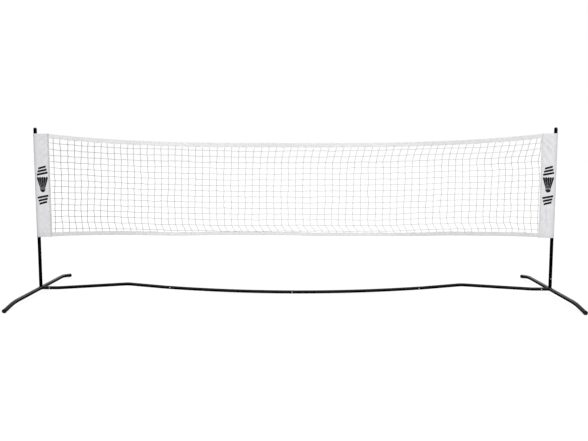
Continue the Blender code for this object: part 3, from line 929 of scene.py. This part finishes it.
def sleeve_sheet(side, sign):
    """The sleeve's cloth, the distance of each grid row along it, and the height of each column."""
    line, flat_length = pocket_line()
    along = lengths_along(line)[:, None]
    hem_top, hem_bottom = SLEEVE_TOP - TOP_HEM, SLEEVE_BOTTOM + BOTTOM_HEM
    z = np.concatenate([
        np.linspace(SLEEVE_BOTTOM, hem_bottom + 0.004, 12)[:-1],
        np.linspace(hem_bottom + 0.004, hem_top - 0.004, 96)[:-1],
        np.linspace(hem_top - 0.004, SLEEVE_TOP, 10),
    ])[None, :]
    q = np.minimum(along, along[-1] - along)
    seed = 11 if side == "left" else 23
    front, back = (sleeve_folds(s, q, z, flat_length) for s in (seed, seed + 5))
    lift = np.where(along > along[-1] / 2, back, front)
    hem = 1 - smooth(BOTTOM_HEM - 0.0015, BOTTOM_HEM + 0.001, z - SLEEVE_BOTTOM)
    hem = hem + 1 - smooth(TOP_HEM - 0.0015, TOP_HEM + 0.001, SLEEVE_TOP - z)
    near_hem = hump(z, hem_bottom, 0.008) + hump(z, hem_top, 0.007)
    pucker = 0.00022 * near_hem * waves(seed + 90, along, z * 0.3, 0.011)
    seam_pucker = 0.0003 * hump(q, 0.013, 0.006) * waves(seed + 91, z, q * 0.3, 0.016)
    lift = lift * (1 - 0.55 * hem) + pucker + seam_pucker
    tangent = unit(np.gradient(line, axis=0))
    outward = np.stack([-tangent[:, 1], tangent[:, 0]], 1)
    flat = line[:, None, :] + outward[:, None, :] * lift[..., None]
    wave = 0.0011 * waves(seed + 30, along, 0.0, 0.06)
    edge = hem * np.sign(z - (SLEEVE_TOP + SLEEVE_BOTTOM) / 2)     # 1 in the top hem, -1 in the bottom
    uneven = np.where(edge > 0, np.minimum(wave * edge, 0.0), np.maximum(-wave * edge, 0.0))
    grid = np.stack([sign * (POCKET_X - flat[..., 0]), flat[..., 1], z + uneven], -1)
    sheet = Sheet(grid, SLEEVE_CLOTH * (1 + 0.75 * hem), along, z, turn_over=sign < 0)
    return sheet, along[:, 0], z[0]


def make_sleeve(side, sign):
    sheet, along, z = sleeve_sheet(side, sign)
    node = f"{side}_sleeve"
    cloth = add_object(node + "_cloth", sheet.mesh("sleeve"), SLEEVE, "net", [node])

    def on_cloth(distance, height):
        """Points and directions at distances along the cloth from the front seam, and heights."""
        row = np.interp(distance, along, np.arange(len(along)))
        column = np.interp(height, z, np.arange(len(z)))
        return sheet.at(len(along) - 1 - row if sign < 0 else row, column)

    around = np.linspace(BINDING_WIDTH, along[-1] - BINDING_WIDTH, 300)
    hems = (SLEEVE_TOP - TOP_HEM + 0.003, SLEEVE_BOTTOM + BOTTOM_HEM - 0.003)
    stitching = add_stitches(node + "_hem_stitching", [on_cloth(around, height) for height in hems])
    binding, seam_stitching = make_binding(side, sign, on_cloth, along[-1])
    mark = make_mark(side, on_cloth)


def make_binding(side, sign, on_cloth, length):
    """A folded strip sewn over the sleeve's two edges, where the netting is caught in."""
    z = np.linspace(SLEEVE_BOTTOM + 0.0008, SLEEVE_TOP - 0.0008, 150)
    seed = 61 if side == "left" else 67
    edge = 0.0004 * waves(seed, z, 0.0, 0.03)
    stand_off = BINDING_CLOTH / 2 + 0.00018
    front, back = [], []
    for number, distance in enumerate(np.linspace(BINDING_WIDTH, 0.0006, 9)):
        at = distance + edge * (1 - number / 8)
        for layer, q in ((front, at), (back, length - at)):
            point, outward = on_cloth(q, z)
            layer.append(point + outward * stand_off)
    middle, half = (front[-1] + back[-1]) / 2, (front[-1] - back[-1]) / 2
    bulge = np.linalg.norm(half, axis=1, keepdims=True) * np.array((-sign, 0.0, 0.0))
    turn = np.radians(np.linspace(90, -90, 7))[1:-1]
    fold = [middle + half * math.sin(a) + bulge * math.cos(a) for a in turn]
    grid = np.array(front + fold + back[::-1])
    grid[..., 1] += np.sign(grid[..., 1]) * 0.00012 * np.abs(waves(seed + 1, z, 0.0, 0.012))
    across = lengths_along(grid[:, len(z) // 2])[:, None]
    sheet = Sheet(grid, BINDING_CLOTH, across, z, turn_over=sign < 0)
    strip = add_object(f"{side}_seam_binding", sheet.mesh("binding"), BINDING, "net")
    columns = np.linspace(1, len(z) - 2, 260)
    rows = (1.6, 5.6, len(grid) - 2.6, len(grid) - 6.6)
    return strip, add_stitches(f"{side}_seam_stitching", [sheet.at(row, columns) for row in rows])


# ---------------- printed mark

def mark_outlines():
    """A plain shuttlecock between slanted bars: outlines of (across, up), about the middle."""
    outlines = []
    bar_width, bar_height, slant, pitch = 0.060, 0.0120, 0.012, 0.0180
    for half in (-1, 1):
        for number in range(3):
            middle = half * (0.068 + number * pitch)
            reach = bar_width / 2 * (1 - 0.14 * number)
            corners = ((-1, -1), (1, -1), (1, 1), (-1, 1))
            outlines.append([(x * reach, middle + y * bar_height / 2 + x * slant / 2) for x, y in corners])
    low, high = -0.016, 0.049      # of the feathers
    crown_reach, foot_reach, cork_reach, gap = 0.032, 0.0152, 0.0150, 0.0008
    feathers = 5
    for number in range(feathers):
        left, right = 2 * number / feathers - 1, 2 * (number + 1) / feathers - 1
        crown = [
            ((left + (right - left) * s) * crown_reach, high - 0.006 * (2 * s - 1) ** 2)
            for s in np.linspace(0.97, 0.03, 9)
        ]
        outlines.append([(left * foot_reach + gap / 2, low), (right * foot_reach - gap / 2, low), *crown])
    band = [low - 0.0062, low - 0.0062, low - 0.0014, low - 0.0014]
    outlines.append(list(zip((-0.0154, 0.0154, 0.0154, -0.0154), band)))
    turns = np.linspace(math.pi, 2 * math.pi, 19)
    cork = [(cork_reach * math.cos(a), low - 0.0085 + 0.0165 * math.sin(a)) for a in turns]
    outlines.append([*cork, (cork_reach, low - 0.0076), (-cork_reach, low - 0.0076)])
    return outlines


def make_mark(side, on_cloth):
    """The mark as a thin skin of print that follows the cloth."""
    middle_q = 0.0425
    middle_z = (SLEEVE_TOP + SLEEVE_BOTTOM) / 2 + 0.003
    bm = bmesh.new()
    for outline in mark_outlines():
        face = bm.faces.new([bm.verts.new((x, y, 0.0)) for x, y in outline])
        face.normal_update()
        if face.normal.z < 0:
            face.normal_flip()
    for across, reach in ((Vector((1, 0, 0)), 0.035), (Vector((0, 1, 0)), 0.12)):
        for cut in np.arange(-reach, reach, MARK_CELL):
            everything = bm.verts[:] + bm.edges[:] + bm.faces[:]
            bmesh.ops.bisect_plane(bm, geom=everything, dist=1e-7, plane_co=across * cut, plane_no=across)
    bmesh.ops.triangulate(bm, faces=bm.faces[:])
    bm.verts.ensure_lookup_table()
    flat = np.array([v.co[:2] for v in bm.verts])
    toward_post = flat[:, 0] if side == "right" else -flat[:, 0]
    points, outward = on_cloth(middle_q + toward_post, middle_z + flat[:, 1])
    faces = [[v.index for v in f.verts] for f in bm.faces]
    rim = [e.link_loops[0] for e in bm.edges if e.is_boundary]
    rim = [(loop.vert.index, loop.link_loop_next.vert.index) for loop in rim]
    bm.free()
    count = len(points)
    both = np.concatenate([points + outward * MARK_SKIN, points + outward * MARK_SKIN / 3])
    shell = faces + [[i + count for i in f[::-1]] for f in faces]
    shell += [(b, a, a + count, b + count) for a, b in rim]
    mesh = make_mesh("mark", both, shell, np.concatenate([flat, flat]))
    return add_object(f"{side}_sleeve_mark", mesh, INK, "net")


# ---------------- tapes

def tape_profile(side_steps=9, fold_steps=7):
    """Across a folded tape: (side, share of the way to the fold, roundness of the fold)."""
    t = np.linspace(0, 1, side_steps)
    turn = np.radians(np.linspace(-90, 90, fold_steps + 2))[1:-1]
    rows = [(-1.0, v, 0.0) for v in t]
    rows += [(math.sin(a), 1.0, math.cos(a)) for a in turn]
    rows += [(1.0, v, 0.0) for v in t[::-1]]
    return np.array(rows), side_steps - 1


def make_tape(name, finish, low, high, fold_up, seed):
    """A band folded over the netting's edge string: two layers, open along one edge."""
    x = np.linspace(-TAPE_END, TAPE_END, 620)[None, :]
    low, high = low(x), high(x)
    profile, side_steps = tape_profile()
    face, share, roundness = (profile[:, i:i + 1] for i in range(3))
    flatten = 0.25 + 0.75 * smooth(0.0, 0.02, TAPE_END - np.abs(x))
    fold_r = TAPE_GAP * 0.9
    up = share * (high - low - fold_r) + roundness * fold_r
    up = up + 0.0007 * waves(seed, x, face * 0.02, 0.05) * (1 - share) ** 2
    belly = np.sin(math.pi * np.clip(up / (high - low), 0, 1)) ** 0.7
    pucker = np.abs(0.00042 * waves(seed + 1, x, up * 0.4, 0.013) * belly)
    drape = 0.0006 * waves(seed + 2, x, up, 0.07)
    stitched = 0.00022 * hump(up, TAPE_STITCH, 0.0011)
    y = face * (TAPE_GAP * flatten + pucker - stitched) + drape * flatten
    y = y + net_sway(x, 0.0 if fold_up else 1.0)
    grid = np.stack(np.broadcast_arrays(x, y, low + up if fold_up else high - up), -1)
    inner_column = 300      # well away from the ends
    across = lengths_along(grid[:, inner_column, 1:])[:, None]
    sheet = Sheet(grid, TAPE_CLOTH, across, x, turn_over=fold_up)
    cloth = add_object(name + "_cloth", sheet.mesh(name), finish, "net", [name])
    columns = np.linspace(1, x.size - 2, 1500)
    last = len(profile) - 1
    edge_row = TAPE_STITCH / float((high - low).mean()) * side_steps
    fold_row = 0.80 * side_steps
    rows = (edge_row, last - edge_row, fold_row, last - fold_row)
    stitching = add_stitches(name + "_stitching", [sheet.at(row, columns) for row in rows])


# ---------------- netting

def upright_places():
    """Rest x of each upright string: the squares are widest a little right of the middle."""
    first, last = FIRST_UPRIGHT - SEAM_X, SEAM_X - LAST_UPRIGHT
    s = np.linspace(-1, 1, UPRIGHTS)
    stretch = s + 0.035 * np.sin(math.pi * s) / math.pi - 0.0175 * (1 - s * s)
    return (first + last) / 2 + (last - first) / 2 * stretch


def row_height(x, row):
    """Height of a row of knots, counted from the top."""
    end = smooth(0.35, 1.0, np.abs(x) / SEAM_X)
    dip = 0.0050 * hump(x, -0.25, 0.22) - 0.0055 * hump(x, 0.85, 0.32) - 0.0020 * hump(x, -0.70, 0.15)
    top = top_edge(x) - TOP_TAPE_H - (0.020 + 0.006 * end + dip)
    low = bottom_edge(x) + BOTTOM_TAPE_H + (0.008 + 0.016 * end - dip)
    return top + (low - top) * row / (ROWS - 1)


def upright_shift(x, share):
    """Sideways drift of the uprights: drawn right at the top tape, and more so at the bottom one."""
    at_top = 0.017 * smooth(-0.6, 0.4, x) * (1 - smooth(0.0, 0.19, share))
    bulge = -0.008 * smooth(0.75, 1.2, x) * hump(share, 0.22, 0.07)
    pull = 0.009 + 0.028 * hump(x, 0.1, 0.75) + 0.008 * smooth(0.5, 1.0, x)
    pull = pull * smooth(-SEAM_X, -SEAM_X + 0.15, x) * (1 - 0.6 * smooth(SEAM_X - 0.2, SEAM_X, x))
    at_bottom = pull * smooth(0.87, 0.985, share)
    drift = 0.0022 * waves(501, x, share * 0.6, 0.30)
    lean = 0.008 * (1 - share) * smooth(0, 0.12, SEAM_X - np.abs(x))
    ends = 0.0045 * smooth(0.60, 0.85, x) * (1 - smooth(1.20, 1.40, x)) * smooth(0.10, 0.25, share)
    ends = ends + 0.0050 * (0.45 - smooth(0.1, 0.35, share)) * (1 - smooth(-1.25, -1.0, x))
    return at_top + bulge + at_bottom + drift + lean + ends


def knot_grid():
    """Knot places, (uprights, rows, 3), uneven by a millimetre or two as hand-drawn knots are."""
    rng = np.random.default_rng(500)
    x0 = upright_places()[:, None] * np.ones((1, ROWS))
    row = np.arange(ROWS)[None, :] * np.ones((UPRIGHTS, 1))
    z = row_height(x0, row) + rng.normal(0, 0.0009, x0.shape) + 0.0013 * waves(502, x0, row * 0.04, 0.35)
    share = (row + 0.6) / (ROWS + 0.2)
    x = x0 + upright_shift(x0, share) + rng.normal(0, 0.0012, x0.shape)
    x = np.clip(x, KNOT_CLEAR - SEAM_X, SEAM_X - KNOT_CLEAR)
    y = net_sway(x0, share) + rng.normal(0, 0.0010, x0.shape)
    return np.stack([x, y, z], -1)


def strung(rng, stops, step=0.0068):
    """A string through its stops: nearly straight between knots, with a small bow."""
    out = []
    for a, b in zip(stops, stops[1:]):
        n = max(2, int(round(np.linalg.norm(b - a) / step)))
        t = (np.arange(n) / n)[:, None]
        bow = rng.normal(0, (0.0007, 0.0010, 0.0007), 3) * np.sin(math.pi * t)
        kink = rng.normal(0, 0.00028, 3) * np.sin(2 * math.pi * t)
        out.append(a + (b - a) * t + bow + kink)
    return np.concatenate([*out, stops[-1][None, :]])


def twine_mesh(name, paths, sides=6):
    """Round twine along each path, with a UV of turns and metres that its twist follows."""
    points, faces, uvs, base = [], [], [], 0
    for path in paths:
        radii = np.full(len(path), TWINE_R)
        radii[[0, -1]], radii[[1, -2]] = TWINE_R * 0.45, TWINE_R * 0.6
        points.append(rings_along(path, radii, BACK, sides).reshape(-1, 3))
        quads = ring_faces(len(path), sides)
        i, k = np.divmod(np.arange(len(quads)), sides)
        turns = np.stack([k, k + 1, k + 1, k], 1) / sides
        metres = lengths_along(path)[np.stack([i, i, i + 1, i + 1], 1)]
        uvs += [np.stack([turns, metres], -1).reshape(-1, 2), np.zeros((2 * sides, 2))]
        end = base + len(path) * sides
        ends = [list(range(base + sides - 1, base - 1, -1)), list(range(end - sides, end))]
        faces += (quads + base).tolist() + ends
        base = end
    return make_mesh(name, np.concatenate(points), faces, np.concatenate(uvs), sharp=80)


def knot_mesh(places):
    """A tight loop of twine round each crossing, and a second one crossing it."""
    rng = np.random.default_rng(507)
    major, minor = 10, 5
    a = 2 * math.pi * np.arange(major)[:, None] / major
    b = 2 * math.pi * np.arange(minor)[None, :] / minor
    reach = LOOP_R + CORD_R * np.cos(b)
    ring = (reach * np.cos(a), reach * np.sin(a) * 1.05, CORD_R * np.sin(b))
    ring = np.stack(np.broadcast_arrays(*ring), -1).reshape(-1, 3)
    turn = np.stack(np.broadcast_arrays(b / (2 * math.pi), a / (2 * math.pi) * TWIST_PITCH), -1)
    points = []
    for place in places:
        for lean in (0.62, -0.95):
            spin = Matrix.Rotation(lean + rng.normal(0, 0.12), 3, "Y")
            spin = spin @ Matrix.Rotation(rng.normal(0, 0.15), 3, "X")
            size = 1 + rng.normal(0, 0.06)
            points.append((ring * (size, size, size * 1.1)) @ np.array(spin).T + place)
    bases = len(ring) * np.arange(len(points))[:, None, None]
    faces = (ring_faces(major, minor, closed=True)[:, ::-1] + bases).reshape(-1, 4)
    uv = np.tile(turn.reshape(-1, 2), (len(points), 1))
    return make_mesh("knots", np.concatenate(points), faces, uv, sharp=80)


def make_netting():
    rng = np.random.default_rng(505)
    knots = knot_grid()
    uprights = []
    for string in knots:
        top_x, low_x = string[0, 0], string[-1, 0]
        low_drift = upright_shift(low_x, 1.03) - upright_shift(low_x, 0.96)
        top_x = top_x + upright_shift(top_x, 0.0) * 0.35
        low_x = low_x + low_drift * 0.9
        start = np.array((top_x, net_sway(top_x, 0.0), top_edge(top_x) - TOP_TAPE_H + 0.008))
        end = np.array((low_x, net_sway(low_x, 1.0), bottom_edge(low_x) + BOTTOM_TAPE_H - 0.007))
        uprights.append(strung(rng, [start, *string, end]))
    rows = []
    end_x = SEAM_X - 0.0003
    for j in range(ROWS):
        start, end = (np.array((x, 0.0, row_height(x, j))) for x in (-end_x, end_x))
        rows.append(strung(rng, [start, *knots[:, j], end]))
    mesh = twine_mesh("uprights", uprights)
    add_object("net_uprights", mesh, TWINE, "net", ["net_mesh"])
    add_object("net_rows", twine_mesh("rows", rows), TWINE, "net")
    add_object("net_knots", knot_mesh(knots.reshape(-1, 3)), KNOT, "net")


# ---------------- stage

def make_camera():
    """Standing in front of the net, a little right of its middle, with the view shifted down."""
    data = bpy.data.cameras.new("camera")
    data.lens = 35.82
    data.sensor_width = 36.0
    data.shift_y = -0.0366
    data.clip_start, data.clip_end = 0.05, 100.0
    pitch, yaw = 0.0852, 0.0115
    camera = new_object("camera", data)
    camera.location = (0.0383, -3.4254, 0.8579)
    camera.rotation_euler = (math.pi / 2 - pitch, 0.0, yaw)
    bpy.context.scene.camera = camera


def make_floor():
    r = 30.0
    mesh = make_mesh("floor", [(-r, -r, 0), (r, -r, 0), (r, r, 0), (-r, r, 0)], [range(4)])
    m = Material("pale_floor", grey(0.15), 0.9, specular=0.0)
    m.set("Emission Color", grey(1.0))
    m.set("Emission Strength", 0.87)
    m.set("Base Color", m.speckle((1.5, 2), (0.3, 0.145), (0.7, 0.155)))
    mirrored = m.node("Emission", {"Strength": GLOSS_FRONT})
    seen = m.by_ray("Is Glossy Ray", m.shader.outputs[0], mirrored.outputs[0])
    m.feed(m.tree.nodes["Material Output"].inputs["Surface"], seen)
    mesh.materials.append(m.material)
    floor = new_object("floor", mesh)
    floor.location.z = -0.0006


def make_light(name, kind, location, target, energy):
    data = bpy.data.lights.new(name, kind)
    data.energy = energy
    light = new_object(name, data)
    light.location = location
    light.rotation_euler = (Vector(target) - Vector(location)).to_track_quat("-Z", "Y").to_euler()
    return data


def make_lights():
    """A broad soft light from above the front, alike over the whole floor, and a softbox."""
    make_light("overhead", "SUN", (0.3, -2.2, 4.4), (0, 0, 0), 1.75).angle = math.radians(70)
    softbox = make_light("softbox", "AREA", (3.4, -2.6, 1.9), (0.9, 0.0, 0.6), 27)
    softbox.shape = "RECTANGLE"
    softbox.size, softbox.size_y = 1.6, 2.2


def make_world():
    """A white surround, dimmer at the two ends of the net, and mirrored dark from the front."""
    world = bpy.data.worlds.new("studio")
    n = Nodes(world)
    x, y, z = n.split(n.node("TexCoord").outputs["Generated"])
    lit = n.ramp(n.math("ABSOLUTE", x), (0.35, WORLD_FRONT), (0.90, WORLD_SIDES))
    backdrop = n.math("MULTIPLY", n.ramp(y, (0.55, 0.0), (0.75, 1.0)), n.ramp(z, (0.08, 0.0), (0.26, 1.0)))
    mirrored = n.math("MULTIPLY_ADD", backdrop, GLOSS_BACK, GLOSS_FRONT)
    lit, mirrored, white = (
        n.node("Background", {"Color": color}).outputs[0] for color in (lit, mirrored, grey(1.0))
    )
    unseen = n.by_ray("Is Glossy Ray", lit, mirrored)
    n.feed(n.tree.nodes["World Output"].inputs["Surface"], n.by_ray("Is Camera Ray", unseen, white))
    bpy.context.scene.world = world


def make_stage():
    make_camera()
    make_floor()
    make_lights()
    make_world()
    bpy.context.scene.view_settings.view_transform = "Standard"
    bpy.context.scene.view_settings.look = "None"


# ---------------- all of it

def main():
    make_frame()
    for side, sign in SIDES:
        make_sleeve(side, sign)
    make_tape(
        "top_tape", TOP_TAPE, lambda x: top_edge(x) - TOP_TAPE_H, top_edge, True, 301,
    )
    make_tape("bottom_tape", BOTTOM_TAPE, bottom_edge, bottom_tape_top, False, 311)
    make_netting()
    for name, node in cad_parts.items():
        if name.endswith("_spring"):
            node.data.materials.clear()
            node.data.materials.append(STEEL)
    make_stage()


main()
